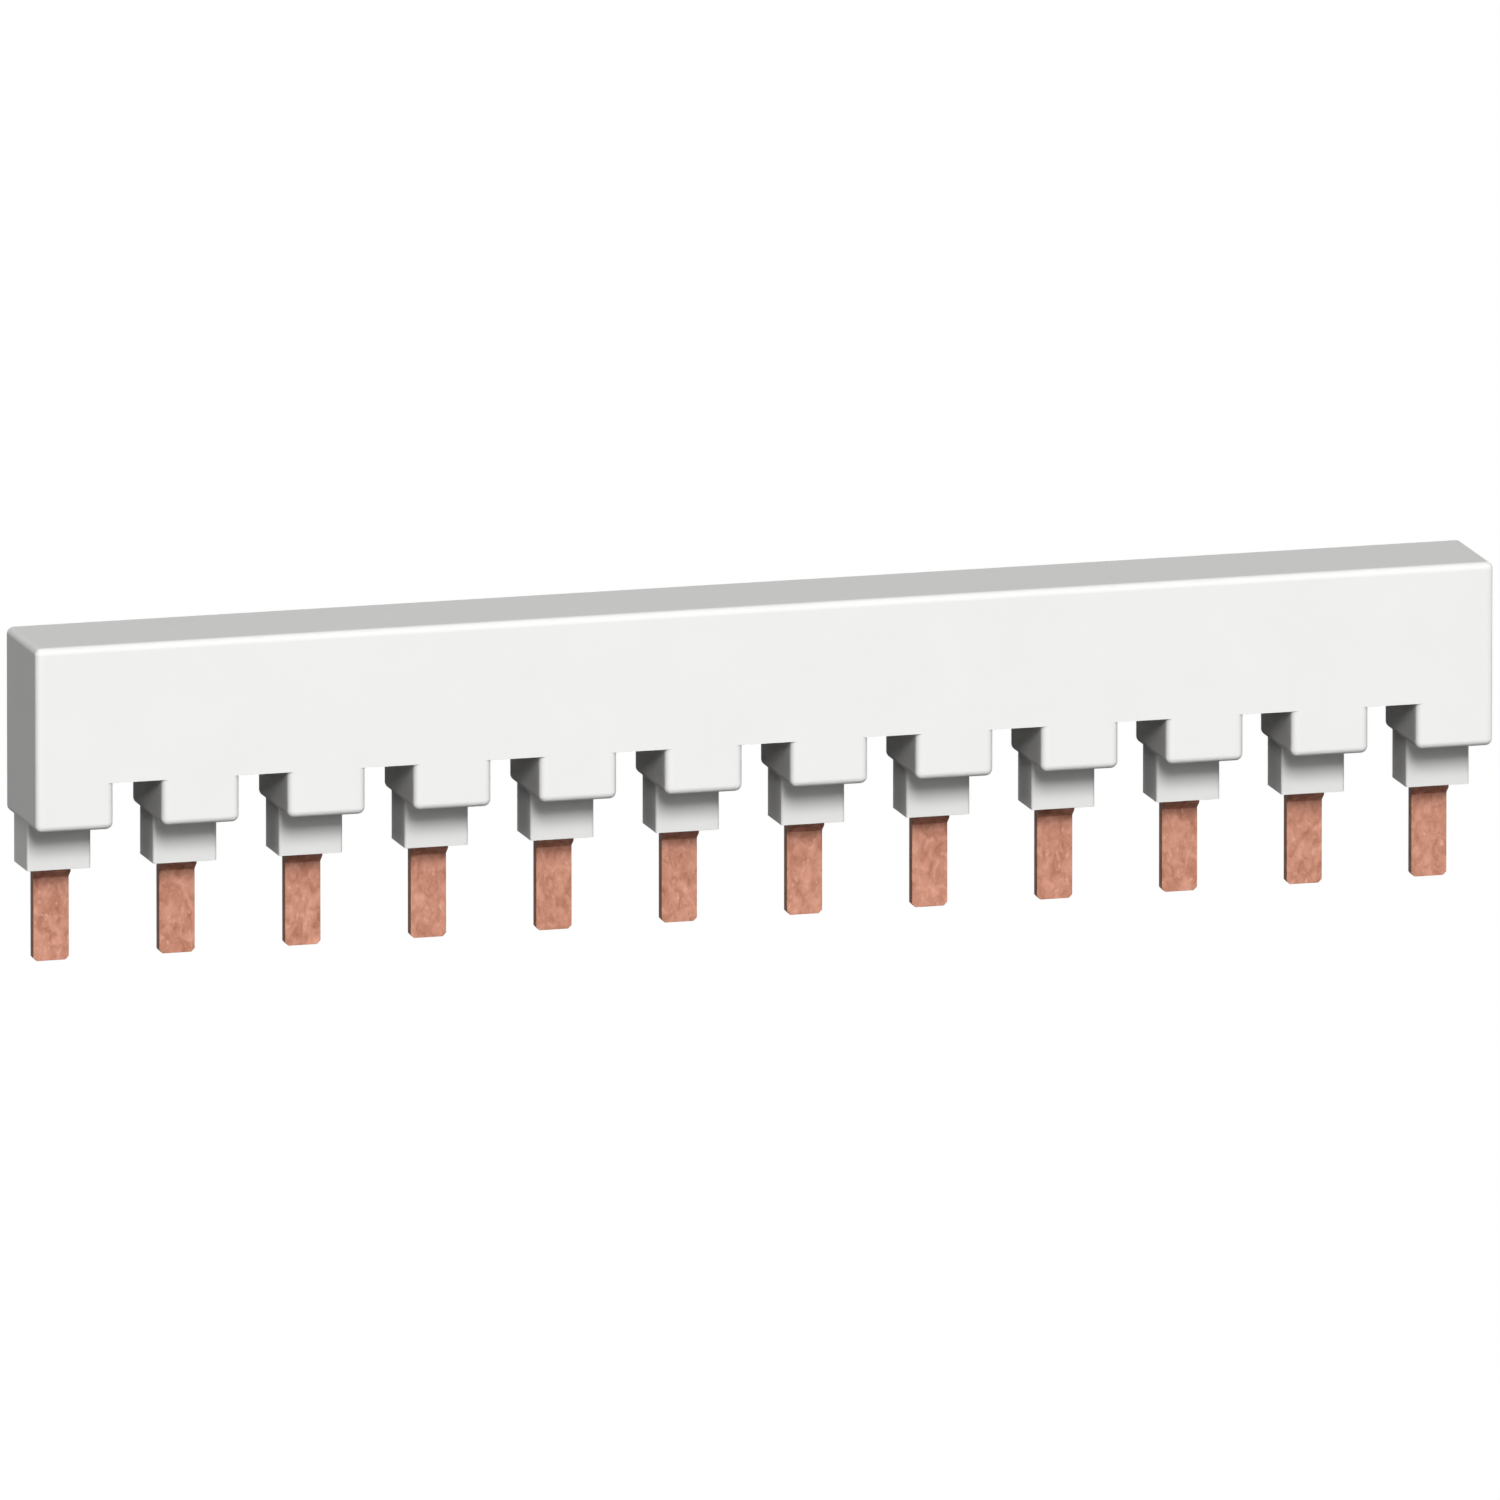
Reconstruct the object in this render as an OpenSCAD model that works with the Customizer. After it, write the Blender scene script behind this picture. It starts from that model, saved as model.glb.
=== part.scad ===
// Comb busbar for a row of modular breakers.
// Three copper combs lie one behind the other in a moulded insulating housing. Their pins leave
// through a shroud and a narrower collar, one under each module, and all stand in one plane.
// The frame has X along the row, the front face towards -Y and the pins pointing down. Its origin
// is the middle of the row, in the pins' mid plane, level with the underside of the collars.

/* [Row] */
// Number of pins along the bar
ways = 12; // [3:1:24]
// Spacing of the pins, one breaker module
pitch = 18; // [15:0.5:27]

/* [Housing] */
// Depth of the housing from its front face to its back rim
body_d = 16.35; // [14.5:0.05:22]
// Height of the closed body above the notches
body_h = 19.4; // [14:0.1:30]
// Width of each shroud
shroud_w = 11.05; // [10:0.05:13]
// Height of the shrouds below the body
shroud_h = 6.6; // [5:0.1:10]
// Thickness of the front, top and end walls
wall = 1.7; // [1.2:0.1:2.2]
// Thickness of the floor above the notches
floor_t = 2; // [1.2:0.1:3]
// Thickness of the floor under each shroud's pocket
shroud_floor_t = 1.8; // [1.2:0.1:2.6]
// Radius of the outer edges
edge_r = 1; // [0.5:0.1:1.4]

/* [Collars] */
// Width of each collar
collar_w = 9.1; // [7.5:0.05:9.8]
// Depth of each collar
collar_d = 7.2; // [5.5:0.1:9]
// Height of the collars below the shrouds
collar_h = 7.1; // [4:0.1:12]
// Radius of the collars' upright edges
collar_r = 0.4; // [0.2:0.05:0.8]
// Set-back of the collars from the back rim
collar_step = 0.55; // [0.3:0.05:1.5]

/* [Copper] */
// Thickness of the copper strip
bar_t = 2.6; // [2:0.1:3]
// Width of the pins
pin_w = 5.1; // [4:0.1:6]
// Thickness of the coined pins
pin_t = 1.55; // [1:0.05:1.9]
// Length of the pins below the collars
pin_l = 13.7; // [8:0.1:20]
// Chamfer on the corners of the pin tips
tip_chamfer = 0.5; // [0.2:0.1:1]
// Length of the full-thickness shank below the collar
shoulder_drop = 1.05; // [0.4:0.05:2]
// Height of the coined slope from the shank to the pin
shoulder_h = 0.9; // [0.4:0.05:2]
// Inner radius of the bends in the set-back tabs
bend_r = 0.8; // [0.4:0.1:1.2]

/* [Seats] */
// Height of the cross ribs that carry the combs
rib_h = 3.4; // [2.4:0.1:5]
// Thickness of the cross ribs
rib_t = 1.6; // [1:0.1:3]
// Running clearance between pieces that slide together
fit = 0.1; // [0.05:0.05:0.2]
// Clearance on each side of a pin in its slot
slot_fit = 0.2; // [0.1:0.05:0.4]
// Air above the combs
head_room = 0.3; // [0.2:0.1:0.6]

/* [Rear cover] */
// Thickness of the cover plate
cover_t = 1.6; // [1.2:0.1:1.9]
// Thickness of the cover's tongues behind the pins
tongue_t = 1.3; // [1:0.1:1.8]
// Width of the snap lugs
lug_w = 5; // [3:0.5:7]
// Height of the snap lugs
lug_h = 0.5; // [0.3:0.05:0.7]
// Length of the snap lugs' ramp
lug_ramp = 0.9; // [0.6:0.1:1.1]

/* [Hidden] */
$fn = 64;

// Combs that share the pins in turn, one node each
phases = 3;
// Cutters run past the faces that they open by this much
over = 1;
// Blocks that are joined run into each other by this much
bite = 2;

// Row
row_l = (ways - 1) * pitch;
body_l = row_l + shroud_w;
function way_x(i) = i * pitch - row_l / 2;
function gap_x(i) = way_x(i) + pitch / 2;

// Levels, from the tips of the pins to the top of the housing
shroud_z = collar_h;
notch_z = shroud_z + shroud_h;
top_z = notch_z + body_h;
cavity_z0 = notch_z + floor_t;
cavity_z1 = top_z - wall;
bar_z0 = cavity_z0 + rib_h;
bar_z1 = cavity_z1 - head_room;
groove_z = cavity_z0 + rib_h / 2;
run_z = shroud_z + shroud_floor_t + fit;

// Depths, from the pins to the back rim and forward to the front face
pin_back = pin_t / 2;
shank_front = pin_back - bar_t;
cover_front = pin_back + fit;
cover_back = cover_front + cover_t;
collar_back = cover_front + tongue_t;
body_back = collar_back + collar_step;
body_front = body_back - body_d;
cavity_front = body_front + wall;

// Combs, numbered from the front, with even steps back to the pins' plane
bar_front_1 = cavity_front + fit;
bar_step = (shank_front - bar_front_1) / (phases - 1);
function bar_front(phase) = bar_front_1 + (phase - 1) * bar_step;
separator_t = bar_step - bar_t - 2 * fit;
bar_l = body_l - 2 * wall - 2 * slot_fit;

// A slot takes a pin on the way in and a tongue of the cover behind it
slot_w = pin_w + 2 * slot_fit;
tongue_w = slot_w - 2 * fit;

moulding_white = [0.93, 0.93, 0.92];
cover_white = [0.89, 0.89, 0.88];
separator_grey = [0.72, 0.73, 0.74];
copper = [0.78, 0.50, 0.38];

// Rectangle with all four corners rounded, placed by its lowest corner
module rounded_rect(size, r) {
    translate([r, 0]) square([size.x - 2 * r, size.y]);
    translate([0, r]) square([size.x, size.y - 2 * r]);
    for (x = [r, size.x - r], y = [r, size.y - r])
        translate([x, y]) circle(r);
}

// Turns a drawing of depth and height into a slab of width w across the row
module across(w) {
    translate([-w / 2, 0, 0])
        rotate([90, 0, 90])
            linear_extrude(w) children();
}

// Turns a drawing of width and height into a slab from depth y0 to y1
module through(y0, y1) {
    translate([0, y1, 0])
        rotate([90, 0, 0])
            linear_extrude(y1 - y0) children();
}

// Block with every outer edge rounded, centred on X, between the levels z0 and z1
module soft_block(w, z0, z1) {
    h = z1 - z0;
    intersection() {
        across(w)
            translate([body_front, z0]) rounded_rect([body_d, h], edge_r);
        through(body_front, body_back)
            translate([-w / 2, z0]) rounded_rect([w, h], edge_r);
        translate([-w / 2, body_front, z0])
            linear_extrude(h) rounded_rect([w, body_d], edge_r);
    }
}

// Long upper block, cut square at the notches
module body_block() {
    intersection() {
        soft_block(body_l, notch_z - bite, top_z);
        translate([-body_l, body_front - over, notch_z])
            cube([2 * body_l, body_d + 2 * over, body_h + over]);
    }
}

// Shroud under one way, square at its top where the body takes over
module shroud_block() {
    intersection() {
        soft_block(shroud_w, shroud_z, notch_z + 2 * bite);
        translate([-shroud_w, body_front - over, shroud_z - over])
            cube([2 * shroud_w, body_d + 2 * over, shroud_h + bite + over]);
    }
}

// Collar under one shroud
module collar_block() {
    translate([-collar_w / 2, collar_back - collar_d, 0])
        linear_extrude(collar_h + bite) rounded_rect([collar_w, collar_d], collar_r);
}

// Cross rib with a groove for the foot of each separator
module seat_rib() {
    difference() {
        translate([-rib_t / 2, cavity_front - over, cavity_z0 - over])
            cube([rib_t, cover_front - fit - cavity_front + over, rib_h + over]);
        for (phase = [1 : phases - 1])
            translate([-rib_t, bar_front(phase) + bar_t, groove_z])
                cube([2 * rib_t, separator_t + 2 * fit, rib_h]);
    }
}

// Room for one tab of a comb, open to the back, with the slot for its pin below
module tab_room(phase) {
    front = bar_front(phase) - fit;
    slot_front = shank_front - fit;
    pocket_z = run_z - fit;
    back = body_back + over;
    top = cavity_z0 + over;
    across(slot_w)
        if (phase == phases)
            translate([slot_front, -over]) square([back - slot_front, top + over]);
        else
            polygon([
                [front, top],
                [front, pocket_z],
                [slot_front - bend_r, pocket_z],
                [slot_front, pocket_z - bend_r],
                [slot_front, -over],
                [back, -over],
                [back, top]
            ]);
}

// Wedge that snaps the cover in, drawn in depth and height from the cover's edge outwards
module lug_profile(grow) {
    polygon([
        [cover_front - grow, -over / 4],
        [cover_front - grow, grow],
        [cover_front + lug_ramp, lug_h + grow],
        [cover_front + lug_ramp + grow, lug_h + grow],
        [cover_front + lug_ramp + grow, -over / 4]
    ]);
}

// Snap lugs along the top and bottom edges of the cover, grown by a clearance for their recesses
module snap_lugs(grow) {
    for (i = [0 : ways - 2]) {
        translate([gap_x(i), 0, cavity_z1 - fit])
            across(lug_w + 2 * grow) lug_profile(grow);
        translate([gap_x(i), 0, cavity_z0 + fit])
            mirror([0, 0, 1])
                across(lug_w + 2 * grow) lug_profile(grow);
    }
}

module housing() {
    color(moulding_white)
        difference() {
            union() {
                body_block();
                for (i = [0 : ways - 1])
                    translate([way_x(i), 0, 0]) {
                        shroud_block();
                        collar_block();
                    }
            }
            difference() {
                translate([wall - body_l / 2, cavity_front, cavity_z0])
                    cube([body_l - 2 * wall, body_back + over - cavity_front, cavity_z1 - cavity_z0]);
                for (i = [0 : ways - 2])
                    translate([gap_x(i), 0, 0]) seat_rib();
            }
            for (i = [0 : ways - 1])
                translate([way_x(i), 0, 0]) tab_room(i % phases + 1);
            snap_lugs(fit);
        }
}

module rear_cover() {
    color(cover_white) {
        plate_w = body_l - 2 * wall - 2 * fit;
        translate([-plate_w / 2, cover_front, cavity_z0 + fit])
            cube([plate_w, cover_t, cavity_z1 - cavity_z0 - 2 * fit]);
        for (i = [0 : ways - 1])
            translate([way_x(i) - tongue_w / 2, cover_front, 0]) {
                translate([0, 0, shroud_z])
                    cube([tongue_w, cover_t, cavity_z0 - shroud_z + bite]);
                cube([tongue_w, tongue_t, shroud_z + bite]);
            }
        snap_lugs(0);
    }
}

// Side of the coined pin with the sloped shoulder under its shank, in depth and height
module pin_profile() {
    pin_front = pin_back - pin_t;
    polygon([
        [shank_front, 0],
        [shank_front, -shoulder_drop],
        [pin_front, -shoulder_drop - shoulder_h],
        [pin_front, -pin_l],
        [pin_back, -pin_l],
        [pin_back, 0]
    ]);
}

// Quarter of a bend, with the corner of its square on the bend's centre
module bend_profile(inner_r) {
    outer_r = inner_r + bar_t;
    difference() {
        intersection() {
            circle(outer_r);
            square(outer_r);
        }
        circle(inner_r);
    }
}

// Side of a whole tab: straight down for the rear comb, stepped back to the pins for the others
module tab_profile(phase) {
    front = bar_front(phase);
    set_back = shank_front - front;
    r = min(bend_r, (set_back - bar_t) / 2);
    outer_r = r + bar_t;
    pin_profile();
    if (phase == phases)
        translate([shank_front, -shoulder_drop])
            square([bar_t, bar_z0 + bar_t + shoulder_drop]);
    else {
        translate([shank_front, -shoulder_drop])
            square([bar_t, run_z - r + shoulder_drop]);
        translate([shank_front - r, run_z - r])
            bend_profile(r);
        translate([front + outer_r, run_z])
            square([set_back - outer_r - r, bar_t]);
        translate([front + outer_r, run_z + outer_r])
            rotate(180) bend_profile(r);
        translate([front, run_z + outer_r])
            square([bar_t, bar_z0 + bar_t - run_z - outer_r]);
    }
}

// Front of a tab, with the corners of the tip chamfered
module tab_face() {
    half = pin_w / 2;
    top = bar_z0 + bar_t;
    polygon([
        [-half, top],
        [-half, tip_chamfer - pin_l],
        [tip_chamfer - half, -pin_l],
        [half - tip_chamfer, -pin_l],
        [half, tip_chamfer - pin_l],
        [half, top]
    ]);
}

// One punched and folded comb, with a tab under every third way
module phase_bar(phase) {
    color(copper) {
        translate([-bar_l / 2, bar_front(phase), bar_z0])
            cube([bar_l, bar_t, bar_z1 - bar_z0]);
        for (i = [phase - 1 : phases : ways - 1])
            translate([way_x(i), 0, 0])
                intersection() {
                    across(pin_w) tab_profile(phase);
                    through(body_front, body_back) tab_face();
                }
    }
}

// Insulating strip behind the given comb, standing in the grooves of the ribs
module separator(phase) {
    color(separator_grey)
        translate([-bar_l / 2, bar_front(phase) + bar_t + fit, groove_z])
            cube([bar_l, separator_t, cavity_z1 - fit - groove_z]);
}

module phase_bar_1() { phase_bar(1); }
module phase_bar_2() { phase_bar(2); }
module phase_bar_3() { phase_bar(3); }
module separator_front() { separator(1); }
module separator_rear() { separator(2); }

housing();
rear_cover();
phase_bar_1();
phase_bar_2();
phase_bar_3();
separator_front();
separator_rear();
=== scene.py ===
"""Dresses a comb busbar: a white moulded housing with a row of bare copper pins.

The housing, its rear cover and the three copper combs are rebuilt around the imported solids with
finer rounded edges, and every surface gets a procedural finish. All lengths are metres.
"""

import logging
import math
from dataclasses import dataclass
from enum import Enum
from typing import Sequence

import bmesh
import bpy
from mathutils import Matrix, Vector


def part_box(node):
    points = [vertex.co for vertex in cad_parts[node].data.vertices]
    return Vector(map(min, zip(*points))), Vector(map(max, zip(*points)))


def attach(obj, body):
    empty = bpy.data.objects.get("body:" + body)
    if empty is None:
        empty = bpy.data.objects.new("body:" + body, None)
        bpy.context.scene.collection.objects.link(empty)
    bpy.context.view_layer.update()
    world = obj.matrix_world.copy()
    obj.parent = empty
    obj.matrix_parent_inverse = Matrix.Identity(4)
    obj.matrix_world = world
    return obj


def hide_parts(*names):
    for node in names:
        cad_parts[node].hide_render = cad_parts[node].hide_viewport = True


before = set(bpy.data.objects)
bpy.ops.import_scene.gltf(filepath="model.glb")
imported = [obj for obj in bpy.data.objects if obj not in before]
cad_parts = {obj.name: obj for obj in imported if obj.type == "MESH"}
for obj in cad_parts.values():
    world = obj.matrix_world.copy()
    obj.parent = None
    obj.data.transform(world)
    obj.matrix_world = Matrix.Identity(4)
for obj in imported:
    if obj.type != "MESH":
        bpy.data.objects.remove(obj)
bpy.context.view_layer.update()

LOG = logging.getLogger("comb_busbar")
MM = 0.001
BODY = "root"

Point2 = tuple[float, float]
Colour = tuple[float, float, float, float]

# Directions in a drawing of depth and height, in degrees.
REARWARD, UPWARD, FORWARD, DOWNWARD = 0, 90, 180, 270
QUARTER = 90
WELD = 0.001 * MM
ROUND_PROFILE = 0.5

# The curve of a screen, which srgb takes off.
SCREEN_TOP = 255
TOE_END = 0.04045
TOE_SLOPE = 12.92
CURVE_SHIFT = 0.055
CURVE_POWER = 2.4

WHITE: Colour = (1, 1, 1, 1)
SHEARED = "sheared"
MASK_MIDDLE = 0.5
EFFECT_INPUTS = {"Vector": "Vector", "Scale": "Float", "Middle": "Float", "Contrast": "Float"}
# Places of the colour sockets on a mix node.
MIX_FACTOR, MIX_LOW, MIX_HIGH, MIX_RESULT = 0, 6, 7, 2


class Slot(Enum):
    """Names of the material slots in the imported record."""

    HOUSING = "housing_white"
    COVER = "cover_white"
    COPPER = "copper"


class Phase(Enum):
    """The three combs, numbered from the front of the housing."""

    FRONT = 1
    MIDDLE = 2
    REAR = 3

    @property
    def node(self) -> str:
        """Name of the comb's solid."""
        return f"phase_bar_{self.value}"


class Join(Enum):
    """Ways to put two meshes together in a geometry node tree."""

    ADD = "UNION"
    CUT = "DIFFERENCE"


def linear(level: int) -> float:
    """Takes the screen curve off one channel.

    Args:
        level: The channel, 0 to 255.

    Returns:
        The linear level, 0 to 1.
    """
    value = level / SCREEN_TOP
    if value <= TOE_END:
        return value / TOE_SLOPE
    return ((value + CURVE_SHIFT) / (1 + CURVE_SHIFT)) ** CURVE_POWER


def srgb(red: int, green: int, blue: int) -> Colour:
    """Turns an 8-bit screen colour into the linear colour that a shader takes."""
    return (linear(red), linear(green), linear(blue), 1.0)


@dataclass(frozen=True)
class Layout:
    """Sizes that the pieces share, measured from the solids where a box gives them."""

    ways: int = 12
    pitch: float = 18 * MM
    shroud_w: float = 11.05 * MM
    shroud_z: float = 7.1 * MM
    notch_z: float = 13.7 * MM
    wall: float = 1.7 * MM
    floor_t: float = 2 * MM
    shroud_floor_t: float = 1.8 * MM
    edge_r: float = 1 * MM
    rib_h: float = 3.4 * MM
    bar_t: float = 2.6 * MM
    pin_t: float = 1.55 * MM
    pin_w: float = 5.1 * MM
    bend_r: float = 0.8 * MM
    lug_w: float = 5 * MM
    lug_h: float = 0.5 * MM
    lug_ramp: float = 0.9 * MM
    lug_root: float = 0.25 * MM
    fit: float = 0.1 * MM
    slot_fit: float = 0.2 * MM
    over: float = 1 * MM
    bite: float = 2 * MM

    @property
    def low(self) -> Vector:
        """Lowest corner of the housing."""
        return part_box("housing")[0]

    @property
    def high(self) -> Vector:
        """Highest corner of the housing."""
        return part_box("housing")[1]

    @property
    def first_way(self) -> float:
        """Middle of the first way along the row."""
        return -(self.ways - 1) * self.pitch / 2

    @property
    def row(self) -> dict[str, float]:
        """Values that a node tree takes to set copies along the row."""
        return {"Ways": self.ways, "Pitch": self.pitch, "First": self.first_way}

    @property
    def slot_w(self) -> float:
        """Width of the slot that a pin goes into."""
        return self.pin_w + 2 * self.slot_fit

    @property
    def cavity_front(self) -> float:
        """Inner face of the front wall."""
        return self.low.y + self.wall

    @property
    def cavity_floor(self) -> float:
        """Upper face of the floor over the notches."""
        return self.notch_z + self.floor_t

    @property
    def cavity_top(self) -> float:
        """Inner face of the top wall."""
        return self.high.z - self.wall

    @property
    def strip_z(self) -> float:
        """Lower edge of the comb strips."""
        return self.cavity_floor + self.rib_h

    @property
    def run_z(self) -> float:
        """Lower face of the level run in a stepped tab."""
        return self.shroud_z + self.shroud_floor_t + self.fit

    @property
    def pin_back(self) -> float:
        """Rear face of the pins."""
        return self.pin_t / 2

    @property
    def shank_front(self) -> float:
        """Front face of the uncoined shank over a pin."""
        return self.pin_back - self.bar_t

    @property
    def cover_front(self) -> float:
        """Front face of the rear cover."""
        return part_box("rear_cover")[0].y

    @property
    def cover_back(self) -> float:
        """Rear face of the rear cover."""
        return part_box("rear_cover")[1].y

    def strip_front(self, phase: Phase) -> float:
        """Front face of one comb's strip."""
        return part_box(phase.node)[0].y

    def first_pin(self, phase: Phase) -> float:
        """Middle of the first pin of one comb."""
        return self.first_way + (phase.value - 1) * self.pitch


def arc(centre: Point2, radius: float, start: float, end: float, steps: int) -> list[Point2]:
    """Draws an arc as points.

    Args:
        centre: Centre of the arc.
        radius: Radius of the arc.
        start: First angle in degrees.
        end: Last angle in degrees.
        steps: Number of straight steps.

    Returns:
        The points from the first angle to the last one.
    """
    turns = [math.radians(start + (end - start) * k / steps) for k in range(steps + 1)]
    return [(centre[0] + radius * math.cos(t), centre[1] + radius * math.sin(t)) for t in turns]


def put(name: str, shape: bmesh.types.BMesh) -> bpy.types.Object:
    """Makes an object from a working mesh.

    Args:
        name: Name of the object.
        shape: The working mesh, which is freed.

    Returns:
        The object, linked to the scene.
    """
    mesh = bpy.data.meshes.new(name)
    shape.to_mesh(mesh)
    shape.free()
    made = bpy.data.objects.new(name, mesh)
    bpy.context.scene.collection.objects.link(made)
    return made


def soften(shape: bmesh.types.BMesh, radius: float, steps: int = 2, crease: float = 40) -> None:
    """Rounds the sharp edges of a working mesh.

    Args:
        shape: The working mesh.
        radius: Radius of the rounding.
        steps: Steps across each rounded edge.
        crease: Smallest angle between two faces, in degrees, that counts as sharp.
    """
    limit = math.radians(crease)
    sharp = [edge for edge in shape.edges if edge.calc_face_angle(0) > limit]
    bmesh.ops.bevel(shape, geom=sharp, offset=radius, segments=steps, profile=ROUND_PROFILE,
                    affect="EDGES", clamp_overlap=True)


@dataclass(frozen=True)
class SoftBlock:
    """A block between two corners, with rounded upright, lower and upper edges."""

    low: Vector
    high: Vector
    side_r: float
    low_r: float = 0
    top_r: float = 0
    steps: int = 8

    def ring(self, inset: float, level: float) -> list[Vector]:
        """Draws the block's outline at one level.

        Args:
            inset: How far the outline lies inside the full one.
            level: Height of the outline.

        Returns:
            The points of the outline.
        """
        r = max(self.side_r - inset, 0)
        x0, x1 = self.low.x + inset + r, self.high.x - inset - r
        y0, y1 = self.low.y + inset + r, self.high.y - inset - r
        centres = ((x1, y1), (x0, y1), (x0, y0), (x1, y0))
        return [Vector((*point, level)) for k, centre in enumerate(centres)
                for point in arc(centre, r, QUARTER * k, QUARTER * (k + 1), self.steps)]

    def rings(self) -> list[list[Vector]]:
        """Draws the block's outlines level by level.

        Returns:
            The outlines from the lower face to the upper one.
        """
        turns = [math.radians(QUARTER * k / self.steps) for k in range(self.steps + 1)]
        lower = turns if self.low_r else turns[-1:]
        upper = turns[::-1] if self.top_r else turns[-1:]
        below = [self.ring(self.low_r * (1 - math.sin(t)),
                           self.low.z + self.low_r * (1 - math.cos(t))) for t in lower]
        above = [self.ring(self.top_r * (1 - math.sin(t)),
                           self.high.z - self.top_r * (1 - math.cos(t))) for t in upper]
        return below + above

    def shape(self) -> bmesh.types.BMesh:
        """Skins the outlines.

        Returns:
            The closed working mesh.
        """
        shape = bmesh.new()
        rows = [[shape.verts.new(point) for point in ring] for ring in self.rings()]
        for row, after in zip(rows, rows[1:]):
            for k, vert in enumerate(row):
                nxt = (k + 1) % len(row)
                shape.faces.new((vert, row[nxt], after[nxt], after[k]))
        shape.faces.new(rows[0][::-1])
        shape.faces.new(rows[-1])
        bmesh.ops.remove_doubles(shape, verts=shape.verts, dist=WELD)
        bmesh.ops.recalc_face_normals(shape, faces=shape.faces)
        return shape


def slab(profile: Sequence[Point2], width: float) -> bmesh.types.BMesh:
    """Extrudes a drawing of depth and height across the row.

    Args:
        profile: Points of the drawing, as depth and height.
        width: Width of the slab, centred on the row's axis.

    Returns:
        The closed working mesh.
    """
    shape = bmesh.new()
    face = shape.faces.new([shape.verts.new((-width / 2, y, z)) for y, z in profile])
    pushed = bmesh.ops.extrude_face_region(shape, geom=[face])["geom"]
    moved = [part for part in pushed if isinstance(part, bmesh.types.BMVert)]
    bmesh.ops.translate(shape, verts=moved, vec=(width, 0, 0))
    bmesh.ops.recalc_face_normals(shape, faces=shape.faces)
    return shape


def add_node(tree: bpy.types.NodeTree, kind: str, links: dict[str | int, object] | None = None,
             **options: object) -> bpy.types.Node:
    """Adds a node to a tree of any kind.

    Args:
        tree: The tree.
        kind: Type of the node.
        links: Sockets or values for the node's inputs, by name or place.
        options: Settings of the node.

    Returns:
        The node.
    """
    node = tree.nodes.new(kind)
    for option, value in options.items():
        setattr(node, option, value)
    for name, source in (links or {}).items():
        if isinstance(source, bpy.types.NodeSocket):
            tree.links.new(source, node.inputs[name])
        else:
            node.inputs[name].default_value = source
    return node


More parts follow.
